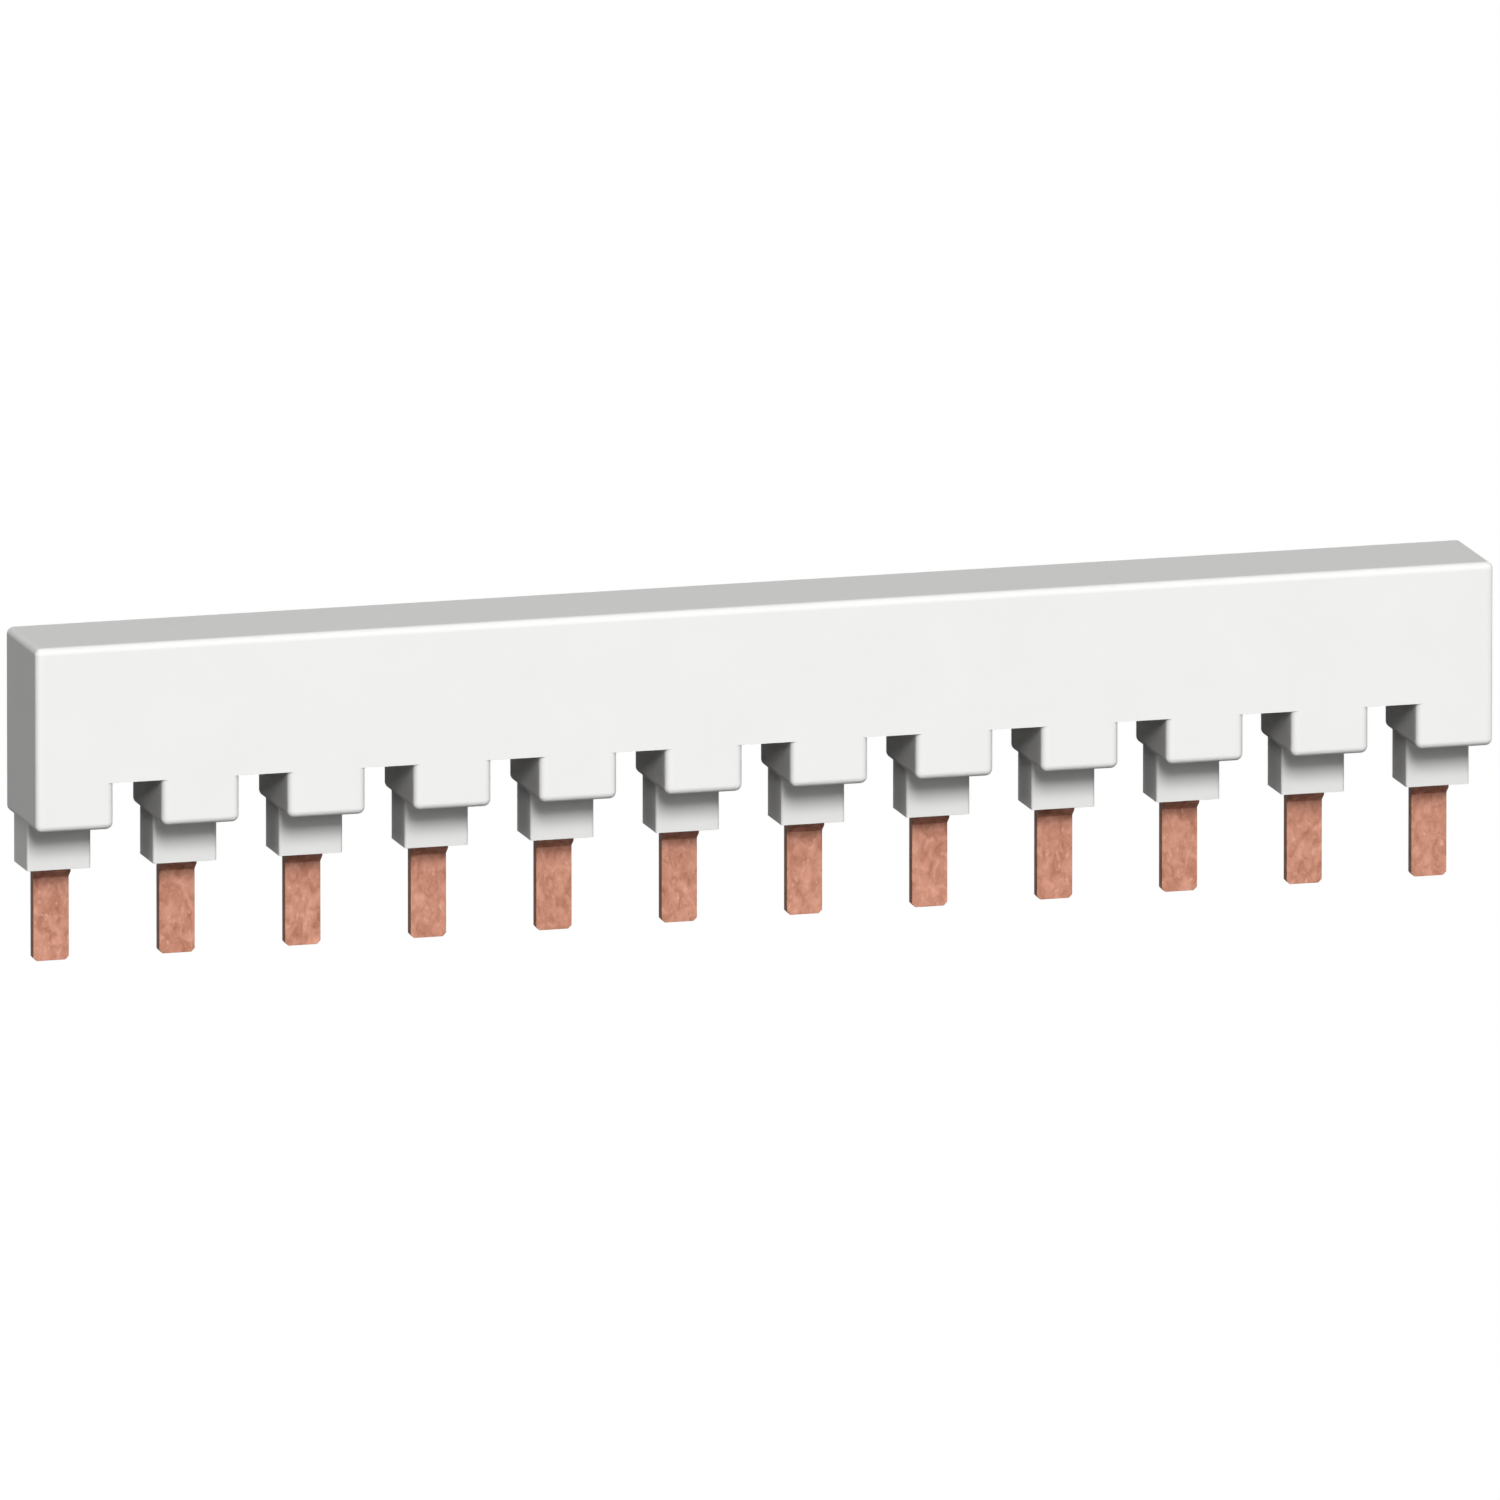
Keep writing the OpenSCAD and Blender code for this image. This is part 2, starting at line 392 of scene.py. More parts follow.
class RuleTree:
    """A geometry node tree with named inputs that ends in one finished mesh."""

    row: bpy.types.NodeTree | None = None

    def __init__(self, name: str) -> None:
        """Starts an empty tree.

        Args:
            name: Name of the tree.
        """
        self.name = name
        self.tree = bpy.data.node_groups.new(name, "GeometryNodeTree")
        self.tree.interface.new_socket("Geometry", in_out="OUTPUT", socket_type="NodeSocketGeometry")
        self.start = self.tree.nodes.new("NodeGroupInput")
        self.end = self.tree.nodes.new("NodeGroupOutput")
        self.keys: dict[str, str] = {}

    def take(self, name: str, kind: str) -> bpy.types.NodeSocket:
        """Adds a named input.

        Args:
            name: Name of the input.
            kind: Socket type without its prefix, such as Float.

        Returns:
            The socket that gives the input's value.
        """
        item = self.tree.interface.new_socket(name, in_out="INPUT", socket_type=f"NodeSocket{kind}")
        self.keys[name] = item.identifier
        return self.start.outputs[name]

    def add(self, kind: str, links: dict[str | int, object], **options: object) -> bpy.types.Node:
        """Adds a node to the tree, as add_node does."""
        return add_node(self.tree, kind, links, **options)

    def sum(self, left: object, right: object, times: float = 1) -> bpy.types.NodeSocket:
        """Adds a multiple of the right value to the left one."""
        links = {0: right, 1: times, 2: left}
        return self.add("ShaderNodeMath", links, operation="MULTIPLY_ADD").outputs[0]

    def along(self, piece: object, count: object, first: object,
              spacing: object) -> bpy.types.NodeSocket:
        """Sets copies of a piece along the row, as one mesh."""
        links = {"Piece": piece, "Count": count, "First": first, "Spacing": spacing}
        return self.add("GeometryNodeGroup", links, node_tree=self.row_group()).outputs["Geometry"]

    def join(self, how: Join, base: bpy.types.NodeSocket,
             parts: Sequence[bpy.types.NodeSocket]) -> bpy.types.NodeSocket:
        """Adds meshes to a mesh, or cuts them out of it.

        Args:
            how: Whether the parts are added or cut out.
            base: The mesh that is changed.
            parts: The meshes that are added or cut out.

        Returns:
            The socket with the result.
        """
        node = self.add("GeometryNodeMeshBoolean", {}, operation=how.value, solver="MANIFOLD")
        if how is Join.ADD:
            parts = [base, *parts]
        else:
            self.tree.links.new(base, node.inputs["Mesh 1"])
        for part in parts:
            self.tree.links.new(part, node.inputs[1])
        return node.outputs["Mesh"]

    def close(self, mesh: bpy.types.NodeSocket) -> None:
        """Ends the tree with real geometry in the finish that it is given.

        Args:
            mesh: The mesh that the tree has made.
        """
        real = self.add("GeometryNodeRealizeInstances", {"Geometry": mesh})
        finish = self.take("Finish", "Material")
        dressed = self.add("GeometryNodeSetMaterial", {"Geometry": real.outputs[0], "Material": finish})
        self.tree.links.new(dressed.outputs[0], self.end.inputs[0])

    @classmethod
    def row_group(cls) -> bpy.types.NodeTree:
        """Gives the shared group that repeats a piece along the row.

        Returns:
            The group, made on its first use.
        """
        if cls.row is None:
            rule = cls("piece_row")
            info = rule.add("GeometryNodeObjectInfo", {"Object": rule.take("Piece", "Object")})
            count = rule.take("Count", "Int")
            places = [rule.add("ShaderNodeCombineXYZ", {"X": rule.take(name, "Float")}).outputs[0]
                      for name in ("First", "Spacing")]
            line = rule.add("GeometryNodeMeshLine", {
                "Count": count, "Start Location": places[0], "Offset": places[1]})
            copies = rule.add("GeometryNodeInstanceOnPoints", {
                "Points": line.outputs[0], "Instance": info.outputs["Geometry"]})
            real = rule.add("GeometryNodeRealizeInstances", {"Geometry": copies.outputs[0]})
            rule.tree.links.new(real.outputs[0], rule.end.inputs[0])
            cls.row = rule.tree
        return cls.row

    def grow(self, base: bpy.types.Object, values: dict[str, object]) -> bpy.types.Object:
        """Runs the tree on an object and keeps the result as a plain mesh.

        Args:
            base: The object that the tree starts from.
            values: Values of the named inputs. Tool objects among them are removed.

        Returns:
            The same object with its finished mesh.
        """
        rule = base.modifiers.new(self.name, "NODES")
        rule.node_group = self.tree
        for name, value in values.items():
            rule[self.keys[name]] = value
        settle(base)
        fix_order(base)
        for value in values.values():
            if isinstance(value, bpy.types.Object):
                bpy.data.meshes.remove(value.data)
        return base


def settle(made: bpy.types.Object) -> None:
    """Applies an object's modifiers to its mesh and removes them.

    Args:
        made: The object.
    """
    depsgraph = bpy.context.evaluated_depsgraph_get()
    mesh = bpy.data.meshes.new_from_object(made.evaluated_get(depsgraph), depsgraph=depsgraph)
    made.modifiers.clear()
    made.data = mesh


def fix_order(made: bpy.types.Object) -> None:
    """Puts a mesh's points and faces in an order that every run repeats.

    Args:
        made: The object, with one finish on its whole mesh.
    """
    old = made.data
    points = sorted(old.vertices, key=lambda vert: tuple(vert.co))
    rank = {vert.index: place for place, vert in enumerate(points)}
    faces = []
    for face in old.polygons:
        ring = [rank[k] for k in face.vertices]
        first = ring.index(min(ring))
        faces.append((ring[first:] + ring[:first], face.index))
    faces.sort()
    mesh = bpy.data.meshes.new(old.name)
    mesh.from_pydata([vert.co for vert in points], [], [ring for ring, _ in faces])
    mesh.materials.append(old.materials[0])
    mark = old.attributes.get(SHEARED)
    if mark:
        kept = mesh.attributes.new(SHEARED, mark.data_type, mark.domain)
        for item, (_, k) in zip(kept.data, faces):
            item.value = mark.data[k].value
    made.data = mesh
    bpy.data.meshes.remove(old)


def shade(made: bpy.types.Object, crease: float = 32, weight: int = 100) -> None:
    """Shades rounded edges smoothly and keeps the flat faces flat.

    Args:
        made: The object.
        crease: Smallest angle between two faces, in degrees, that stays sharp.
        weight: How much large faces count for the normals.
    """
    made.data.shade_smooth()
    made.data.set_sharp_from_angle(angle=math.radians(crease))
    even = made.modifiers.new("even_normals", "WEIGHTED_NORMAL")
    even.keep_sharp = True
    even.weight = weight
    settle(made)


class Effect(Enum):
    """Surface effects that more than one finish uses, each a noise of its own character."""

    GRAIN = ("moulded_grain", 2, 0.45, 0)
    DRIFT = ("tone_drift", 5, 0.6, 0.5)

    def __init__(self, title: str, detail: float, rough: float, swirl: float) -> None:
        """Keeps the effect's settings.

        Args:
            title: Name of the node group.
            detail: Octaves of the noise.
            rough: How much the fine octaves count.
            swirl: How far the noise is drawn into curls.
        """
        self.title = title
        self.settings = {"Detail": detail, "Roughness": rough, "Distortion": swirl}

    def group(self) -> bpy.types.NodeTree:
        """Gives the effect's node group.

        Returns:
            The group, made on its first use.
        """
        known = bpy.data.node_groups.get(self.title)
        if known:
            return known
        tree = bpy.data.node_groups.new(self.title, "ShaderNodeTree")
        for name, kind in EFFECT_INPUTS.items():
            tree.interface.new_socket(name, in_out="INPUT", socket_type=f"NodeSocket{kind}")
        tree.interface.new_socket("Mask", in_out="OUTPUT", socket_type="NodeSocketFloat")
        start = add_node(tree, "NodeGroupInput")
        noise = add_node(tree, "ShaderNodeTexNoise", {
            "Vector": start.outputs["Vector"], "Scale": start.outputs["Scale"], **self.settings})
        above = add_node(tree, "ShaderNodeMath", {
            0: noise.outputs["Fac"], 1: start.outputs["Middle"]}, operation="SUBTRACT")
        steep = add_node(tree, "ShaderNodeMath", {
            0: above.outputs[0], 1: start.outputs["Contrast"], 2: MASK_MIDDLE},
            operation="MULTIPLY_ADD", use_clamp=True)
        add_node(tree, "NodeGroupOutput", {"Mask": steep.outputs[0]})
        return tree


@dataclass(frozen=True)
class Layer:
    """One effect as a finish uses it."""

    effect: Effect
    scale: float
    contrast: float
    middle: float = 0.5
    drawn: tuple[float, float, float] = (1, 1, 1)


class Finish:
    """A material under construction, with helpers for its nodes."""

    def __init__(self, name: str, gloss: float) -> None:
        """Starts a material.

        Args:
            name: Name of the material.
            gloss: Strength of the clear reflection.
        """
        self.material = bpy.data.materials.new(name)
        self.material.use_nodes = True
        self.tree = self.material.node_tree
        self.shader = self.tree.nodes["Principled BSDF"]
        self.shader.inputs["Specular IOR Level"].default_value = gloss
        self.place = add_node(self.tree, "ShaderNodeTexCoord").outputs["Object"]

    def effect(self, layer: Layer) -> bpy.types.NodeSocket:
        """Places a shared effect.

        Args:
            layer: The effect and how it is laid on.

        Returns:
            The socket with the effect's mask.
        """
        place = add_node(self.tree, "ShaderNodeMapping", {"Vector": self.place, "Scale": layer.drawn})
        node = add_node(self.tree, "ShaderNodeGroup", {
            "Vector": place.outputs["Vector"], "Scale": layer.scale, "Middle": layer.middle,
            "Contrast": layer.contrast}, node_tree=layer.effect.group())
        return node.outputs["Mask"]

    def rise(self, low: float, high: float, share: float) -> bpy.types.NodeSocket:
        """Gives a mask that grows with height.

        Args:
            low: Height where the mask starts.
            high: Height where it is full.
            share: The full mask.

        Returns:
            The socket with the mask.
        """
        axes = add_node(self.tree, "ShaderNodeSeparateXYZ", {0: self.place})
        node = add_node(self.tree, "ShaderNodeMapRange", {
            "Value": axes.outputs["Z"], "From Min": low, "From Max": high, "To Max": share},
            interpolation_type="SMOOTHSTEP")
        return node.outputs[0]

    def mark(self, name: str) -> bpy.types.NodeSocket:
        """Gives a mask that the piece carries as an attribute of its own."""
        return add_node(self.tree, "ShaderNodeAttribute", attribute_name=name).outputs["Fac"]

    def blend(self, mask: bpy.types.NodeSocket, low: Colour | bpy.types.NodeSocket,
              high: Colour | bpy.types.NodeSocket) -> bpy.types.NodeSocket:
        """Mixes two colours by a mask, from the low one at 0 to the high one at 1."""
        links = {MIX_FACTOR: mask, MIX_LOW: low, MIX_HIGH: high}
        return add_node(self.tree, "ShaderNodeMix", links, data_type="RGBA").outputs[MIX_RESULT]

    def drive(self, socket: str, source: bpy.types.NodeSocket) -> None:
        """Links a socket to one of the shader's inputs."""
        self.tree.links.new(source, self.shader.inputs[socket])

    def between(self, socket: str, mask: bpy.types.NodeSocket, low: float, high: float) -> None:
        """Drives one of the shader's inputs between two numbers by a mask."""
        links = {"Value": mask, "To Min": low, "To Max": high}
        self.drive(socket, add_node(self.tree, "ShaderNodeMapRange", links).outputs[0])

    def relief(self, height: bpy.types.NodeSocket, depth: float, shown: float) -> None:
        """Gives the surface a fine relief of a depth, and shows a share of it."""
        links = {"Height": height, "Distance": depth, "Strength": shown}
        self.drive("Normal", add_node(self.tree, "ShaderNodeBump", links).outputs[0])


@dataclass(frozen=True)
class Plastic:
    """Moulded plastic with a fine spark-eroded grain."""

    name: str
    light: Colour
    shade: Colour
    gloss: float = 0.01
    rough: tuple[float, float] = (0.5, 0.64)
    drift: Layer = Layer(Effect.DRIFT, 70, 1.6)
    grain: Layer = Layer(Effect.GRAIN, 2800, 1.4)
    grain_depth: float = 0.012 * MM
    grain_shown: float = 0.5

    def material(self) -> bpy.types.Material:
        """Builds the finish.

        Returns:
            The material.
        """
        finish = Finish(self.name, self.gloss)
        grain = finish.effect(self.grain)
        finish.drive("Base Color", finish.blend(finish.effect(self.drift), self.shade, self.light))
        finish.between("Roughness", grain, *self.rough)
        finish.relief(grain, self.grain_depth, self.grain_shown)
        return finish.material


@dataclass(frozen=True)
class Copper:
    """Bare rolled copper: mottled, with light flecks; cut sides darker, partly a rougher sheared finish
    and partly painted shade; darker towards the collars, partly oxide and partly painted shade.
    """

    name: str = "dull_copper"
    bright: Colour = srgb(216, 158, 136)
    dull: Colour = srgb(167, 110, 88)
    fleck: Colour = srgb(215, 163, 141)
    # Dark colour near the collars: partly oxide, partly painted shade where the collars shade the pins.
    oxide_and_shade: Colour = srgb(50, 26, 17)
    # Colour of the cut sides: partly a rougher sheared finish, partly painted shade on the pins' sides.
    cut: Colour = srgb(134, 98, 78)
    gloss: float = 0.05
    rough: tuple[float, float] = (0.62, 0.5)
    metal: tuple[float, float] = (0.0, 0.2)
    mottle: Layer = Layer(Effect.DRIFT, 800, 2.2, drawn=(1, 1, 0.7))
    flecks: Layer = Layer(Effect.GRAIN, 1700, 6, middle=0.69, drawn=(1, 1, 0.6))
    streaks: Layer = Layer(Effect.GRAIN, 3000, 1.5, drawn=(1, 1, 0.12))
    streak_depth: float = 0.01 * MM
    streak_shown: float = 0.4
    # Heights and share of the darkening towards the collars: partly oxide, partly painted shade.
    oxide_and_shade_z: tuple[float, float] = (-4.4 * MM, -2.6 * MM)
    oxide_and_shade_share: float = 0.21

    def material(self) -> bpy.types.Material:
        """Builds the finish.

        Returns:
            The material.
        """
        finish = Finish(self.name, self.gloss)
        mottle = finish.effect(self.mottle)
        rolled = finish.blend(mottle, self.dull, self.bright)
        flecked = finish.blend(finish.effect(self.flecks), rolled, self.fleck)
        # Darkens the pins towards the collars: partly oxide, partly painted shade under the collars.
        aged_and_shaded = finish.blend(finish.rise(*self.oxide_and_shade_z, self.oxide_and_shade_share), flecked, self.oxide_and_shade)
        # Cut sides take a darker colour: partly a sheared finish, partly painted shade.
        finish.drive("Base Color", finish.blend(finish.mark(SHEARED), aged_and_shaded, self.cut))
        finish.between("Roughness", mottle, *self.rough)
        finish.between("Metallic", mottle, *self.metal)
        finish.relief(finish.effect(self.streaks), self.streak_depth, self.streak_shown)
        return finish.material


HOUSING_PLASTIC = Plastic("moulded_white", srgb(230, 230, 228), srgb(227, 227, 225))
COVER_PLASTIC = Plastic("cover_white", srgb(225, 225, 222), srgb(221, 221, 218))
SEPARATOR_PLASTIC = Plastic("separator_grey", srgb(182, 183, 184), srgb(173, 174, 176))


@dataclass
class Housing:
    """The moulded housing: body, shrouds and collars, with rooms for the tabs inside."""

    at: Layout
    finish: bpy.types.Material
    collar_w: float = 9.1 * MM
    collar_r: float = 0.4 * MM
    collar_d: float = 7.2 * MM
    collar_edge_r: float = 0.05 * MM
    collar_step: float = 0.55 * MM
    rib_t: float = 1.6 * MM

    def block(self, low: Sequence[float], high: Sequence[float], **radii: float) -> bmesh.types.BMesh:
        """Skins one rounded block between two corners."""
        return SoftBlock(Vector(low), Vector(high), **radii).shape()

    def body(self) -> bpy.types.Object:
        """Makes the long upper block, square at the notches.

        Returns:
            The object that the tree starts from.
        """
        at = self.at
        low = (at.low.x, at.low.y, at.notch_z)
        return put("housing", self.block(low, at.high, side_r=at.edge_r, top_r=at.edge_r))

    def shroud(self) -> bpy.types.Object:
        """Makes the shroud under one way.

        Returns:
            The shroud as a tool object.
        """
        at = self.at
        half = at.shroud_w / 2
        return put("shroud", self.block((-half, at.low.y, at.shroud_z), (half, at.high.y, at.notch_z),
                                        side_r=at.edge_r, low_r=at.edge_r))

    def collar(self) -> bpy.types.Object:
        """Makes the collar under one shroud.

        Returns:
            The collar as a tool object.
        """
        half = self.collar_w / 2
        back = self.at.high.y - self.collar_step
        top = self.at.shroud_z + self.at.bite
        return put("collar", self.block((-half, back - self.collar_d, 0), (half, back, top),
                                        side_r=self.collar_r, low_r=self.collar_edge_r))

    def chamber(self) -> bpy.types.Object:
        """Makes the cutter for the room that the strips lie in.

        Returns:
            The cutter as a tool object.
        """
        at = self.at
        half, back = at.high.x - at.wall, at.high.y + at.over
        sides = [(at.cavity_front, at.cavity_floor), (back, at.cavity_floor), (back, at.cavity_top),
                 (at.cavity_front, at.cavity_top)]
        return put("chamber", slab(sides, 2 * half))

    def rib(self) -> bpy.types.Object:
        """Makes one cross rib with a groove for the foot of each separator.

        Returns:
            The rib as a tool object.
        """
        at = self.at
        groove_z = at.cavity_floor + at.rib_h / 2
        front, back = at.cavity_front - at.over / 2, at.cover_front - at.fit
        foot = at.cavity_floor - at.over
        grooves: list[Point2] = []
        for phase in (Phase.FRONT, Phase.MIDDLE):
            y0 = at.strip_front(phase) + at.bar_t
            y1 = at.strip_front(Phase(phase.value + 1))
            grooves += [(y0, at.strip_z), (y0, groove_z), (y1, groove_z), (y1, at.strip_z)]
        return put("rib", slab([(front, foot), (front, at.strip_z), *grooves, (back, at.strip_z),
                                (back, foot)], self.rib_t))

    def room(self, phase: Phase) -> bpy.types.Object:
        """Makes the cutter for one tab of a comb, with the slot for its pin.

        Args:
            phase: The comb.

        Returns:
            The cutter as a tool object.
        """
        at = self.at
        front = at.strip_front(phase) - at.fit
        slot = at.shank_front - at.fit
        pocket = at.run_z - at.fit
        back = at.high.y + at.over
        top = at.cavity_floor + at.over
        step = [(front, top), (front, pocket), (slot - at.bend_r, pocket), (slot, pocket - at.bend_r)]
        if phase is Phase.REAR:
            step = [(slot, top)]
        return put("room", slab([*step, (slot, -at.over), (back, -at.over), (back, top)], at.slot_w))

    def recess(self) -> bpy.types.Object:
        """Makes the cutter for the pair of snap lugs in one gap.

        Returns:
            The cutter as a tool object.
        """
        at = self.at
        front, high = at.cover_front - at.fit, at.lug_h + at.fit
        tip = at.cover_front + at.lug_ramp
        back = tip + at.fit
        wedge = [(front, -at.lug_root), (front, at.fit), (tip, high), (back, high), (back, -at.lug_root)]
        width = at.lug_w + 2 * at.fit
        pair = slab([(y, at.cavity_top - at.fit + z) for y, z in wedge], width)
        lower = slab([(y, at.cavity_floor + at.fit - z) for y, z in wedge], width)
        scrap = bpy.data.meshes.new("lower_recess")
        lower.to_mesh(scrap)
        lower.free()
        pair.from_mesh(scrap)
        bpy.data.meshes.remove(scrap)
        return put("recess", pair)

    def rule(self) -> RuleTree:
        """Builds the tree that sets the teeth, rooms and ribs along the row.

        Returns:
            The tree.
        """
        rule = RuleTree("moulded_row")
        body = rule.take("Body", "Geometry")
        ways = rule.take("Ways", "Int")
        pitch, first = (rule.take(name, "Float") for name in ("Pitch", "First"))
        tools = {name: rule.take(name, "Object") for name in
                 ("Shroud", "Collar", "Chamber", "Rib", "Recess", *(p.name for p in Phase))}
        gaps, gap = rule.sum(ways, -1), rule.sum(first, pitch, 1 / 2)
        each, wide = rule.sum(0, ways, 1 / len(Phase)), rule.sum(0, pitch, len(Phase))
        teeth = [rule.along(tools[name], ways, first, pitch) for name in ("Shroud", "Collar")]
        rooms = [rule.along(tools[p.name], each, rule.sum(first, pitch, p.value - 1), wide)
                 for p in Phase]
        chamber = rule.along(tools["Chamber"], 1, 0, 0)
        recess = rule.along(tools["Recess"], gaps, gap, pitch)
        ribs = rule.along(tools["Rib"], gaps, gap, pitch)
        whole = rule.join(Join.ADD, body, teeth)
        open_back = rule.join(Join.CUT, whole, [chamber, *rooms, recess])
        rule.close(rule.join(Join.ADD, open_back, [ribs]))
        return rule

    def build(self) -> bpy.types.Object:
        """Builds and dresses the housing.

        Returns:
            The finished piece.
        """
        tools = {"Shroud": self.shroud(), "Collar": self.collar(), "Chamber": self.chamber(),
                 "Rib": self.rib(), "Recess": self.recess(), **{p.name: self.room(p) for p in Phase}}
        made = self.rule().grow(self.body(), {**self.at.row, "Finish": self.finish, **tools})
        shade(made)
        made.name = "housing_moulding"
        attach(made, BODY)
        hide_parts("housing")
        return made


@dataclass
class RearCover:
    """The snap-in cover: a plate with a tongue behind each pin and lugs along its edges."""

    at: Layout
    finish: bpy.types.Material
    tongue_t: float = 1.3 * MM
    edge_r: float = 0.12 * MM

    def plate(self) -> bpy.types.Object:
        """Makes the plate with softened edges.

        Returns:
            The object that the tree starts from.
        """
        at = self.at
        low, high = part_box("rear_cover")
        z0, z1 = at.cavity_floor + at.fit, at.cavity_top - at.fit
        shape = slab([(low.y, z0), (high.y, z0), (high.y, z1), (low.y, z1)], high.x - low.x)
        soften(shape, self.edge_r)
        return put("cover", shape)

    def tongue(self) -> bpy.types.Object:
        """Makes the tongue behind one pin.

        Returns:
            The tongue as a tool object.
        """
        at = self.at
        front, back, thin = at.cover_front, at.cover_back, at.cover_front + self.tongue_t
        top = at.cavity_floor + at.bite
        sides = [(front, 0), (thin, 0), (thin, at.shroud_z), (back, at.shroud_z), (back, top),
                 (front, top)]
        return put("tongue", slab(sides, at.slot_w - 2 * at.fit))

    def lug(self, top: bool) -> bpy.types.Object:
        """Makes one snap lug.

        Args:
            top: Whether it sits on the upper edge of the plate, or else on the lower one.

        Returns:
            The lug as a tool object.
        """
        at = self.at
        tip = at.cover_front + at.lug_ramp
        front, root = at.cover_front, -at.lug_root
        wedge = [(front, root), (front, 0), (tip, at.lug_h), (tip, root)]
        edge, way = (at.cavity_top - at.fit, 1) if top else (at.cavity_floor + at.fit, -1)
        return put("lug", slab([(y, edge + way * z) for y, z in wedge], at.lug_w))

    def rule(self) -> RuleTree:
        """Builds the tree that sets the tongues and lugs along the plate.

        Returns:
            The tree.
        """
        rule = RuleTree("snap_cover")
        plate = rule.take("Plate", "Geometry")
        ways = rule.take("Ways", "Int")
        pitch, first = (rule.take(name, "Float") for name in ("Pitch", "First"))
        tongues = rule.along(rule.take("Tongue", "Object"), ways, first, pitch)
        gaps, gap = rule.sum(ways, -1), rule.sum(first, pitch, 1 / 2)
        lugs = [rule.along(rule.take(name, "Object"), gaps, gap, pitch)
                for name in ("Top lug", "Low lug")]
        rule.close(rule.join(Join.ADD, plate, [tongues, *lugs]))
        return rule

    def build(self) -> bpy.types.Object:
        """Builds and dresses the cover.

        Returns:
            The finished piece.
        """
        tools = {"Tongue": self.tongue(), "Top lug": self.lug(True), "Low lug": self.lug(False)}
        made = self.rule().grow(self.plate(), {**self.at.row, "Finish": self.finish, **tools})
        shade(made)
        made.name = "cover_moulding"
        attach(made, BODY)
        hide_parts("rear_cover")
        return made


